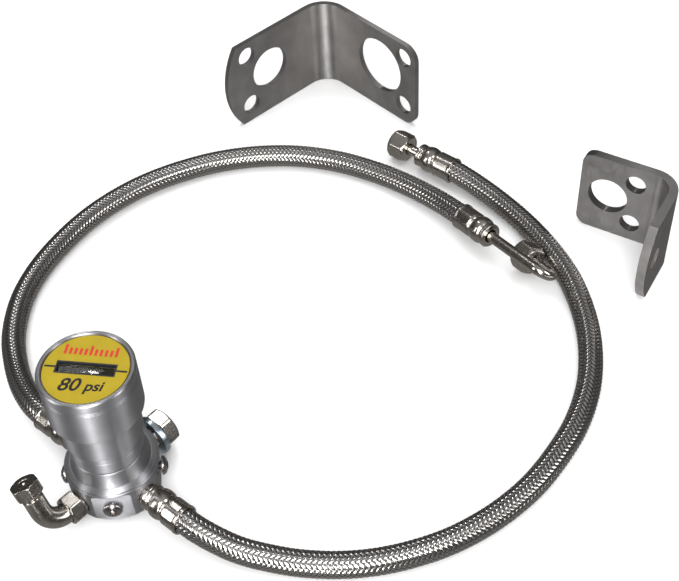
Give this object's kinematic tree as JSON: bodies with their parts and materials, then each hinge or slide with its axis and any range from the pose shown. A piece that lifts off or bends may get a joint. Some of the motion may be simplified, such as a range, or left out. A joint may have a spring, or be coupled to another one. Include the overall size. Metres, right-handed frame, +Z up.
{
  "type": "dual tyre pressure equaliser with braided hoses",
  "caption": "Pressure regulator with a sight window, braided stainless hoses ending in valve-stem nuts, an inflation elbow, a mounting bolt and loose angle brackets.",
  "frame": {"origin": "centre of the regulator's flat base, on the surface that the kit lies on", "axes": "+Z up along the regulator's axis; the hoses loop out towards +X and +Y; the piston rises along +Z"},
  "size_m": [0.2981, 0.3075, 0.0735],
  "materials": {
    "turned_aluminium": "fine turned satin",
    "nickel": "bright nickel plate with a warm grey tone",
    "hose_braid": "woven stainless wire braid",
    "bracket_steel": "brushed stainless strip",
    "screw_steel": "polished stainless screw",
    "zinc_plate": "bluish zinc plate",
    "spring_steel": "drawn wire",
    "brass": "turned brass",
    "label": "printed mustard yellow label",
    "black_plastic": "matt black",
    "indicator": "bright yellow indicator bar",
    "lens": "clear window",
    "rubber": "black seal rubber"
  },
  "bodies": {
    "regulator": {"regulator_body": "turned_aluminium", "spring_housing": "turned_aluminium", "housing_seal": "rubber", "main_spring": "spring_steel", "spring_adjuster": "brass", "indicator_shroud": "black_plastic", "regulator_cap": "turned_aluminium", "label_disc": "label", "window_lens": "lens", "port_screw_1": "screw_steel", "port_screw_2": "screw_steel", "port_screw_3": "screw_steel", "port_screw_4": "screw_steel", "mounting_bolt": "nickel", "lock_washer": "zinc_plate", "elbow_nut": "nickel", "inflation_elbow": "nickel", "valve_head": "nickel", "valve_core": "brass", "left_hose_nipple": "nickel", "right_hose_nipple": "nickel", "left_inlet_ferrule": "nickel", "right_inlet_ferrule": "nickel", "left_hose_tube": "hose_braid", "right_hose_tube": "hose_braid", "left_end_ferrule": "nickel", "right_end_ferrule": "nickel", "hook_tube": "nickel", "straight_stub": "nickel"},
    "piston": {"pressure_piston": "turned_aluminium", "piston_seal": "rubber", "indicator_rod": "spring_steel", "indicator_bar": "indicator"},
    "valve_pin": {"valve_pin": "brass"},
    "hook_nut": {"hook_nut": "nickel", "hook_gasket": "rubber"},
    "straight_nut": {"straight_nut": "nickel", "straight_gasket": "rubber"},
    "large_bracket": {"large_bracket": "bracket_steel"},
    "small_bracket": {"small_bracket": "bracket_steel"}
  },
  "joints": [
    {"name": "piston_slide", "type": "slide", "parent": "regulator", "child": "piston", "axis": [0, 0, 1], "range_m": [0, 0.005], "stiffness_N_per_m": 1500, "springref_m": -0.004, "deforming": ["main_spring"]},
    {"name": "valve_pin_press", "type": "slide", "parent": "regulator", "child": "valve_pin", "axis": [0.3266, -0.3154, -0.891], "range_m": [0, 0.0012], "stiffness_N_per_m": 100, "springref_m": -0.001},
    {"name": "hook_nut_turn", "type": "hinge", "parent": "regulator", "child": "hook_nut", "pos_m": [0.17758, 0.10567, 0.00779], "axis": [-0.535, 0.835, -0.129], "continuous": true},
    {"name": "straight_nut_turn", "type": "hinge", "parent": "regulator", "child": "straight_nut", "pos_m": [0.12722, 0.18779, 0.00749], "axis": [-0.7493, 0.6622, 0.006], "continuous": true},
    {"name": "large_bracket_lift", "type": "slide", "parent": "regulator", "child": "large_bracket", "axis": [0, 0, 1], "range_m": [0, 0.1]},
    {"name": "small_bracket_lift", "type": "slide", "parent": "regulator", "child": "small_bracket", "axis": [0, 0, 1], "range_m": [0, 0.1]}
  ]
}
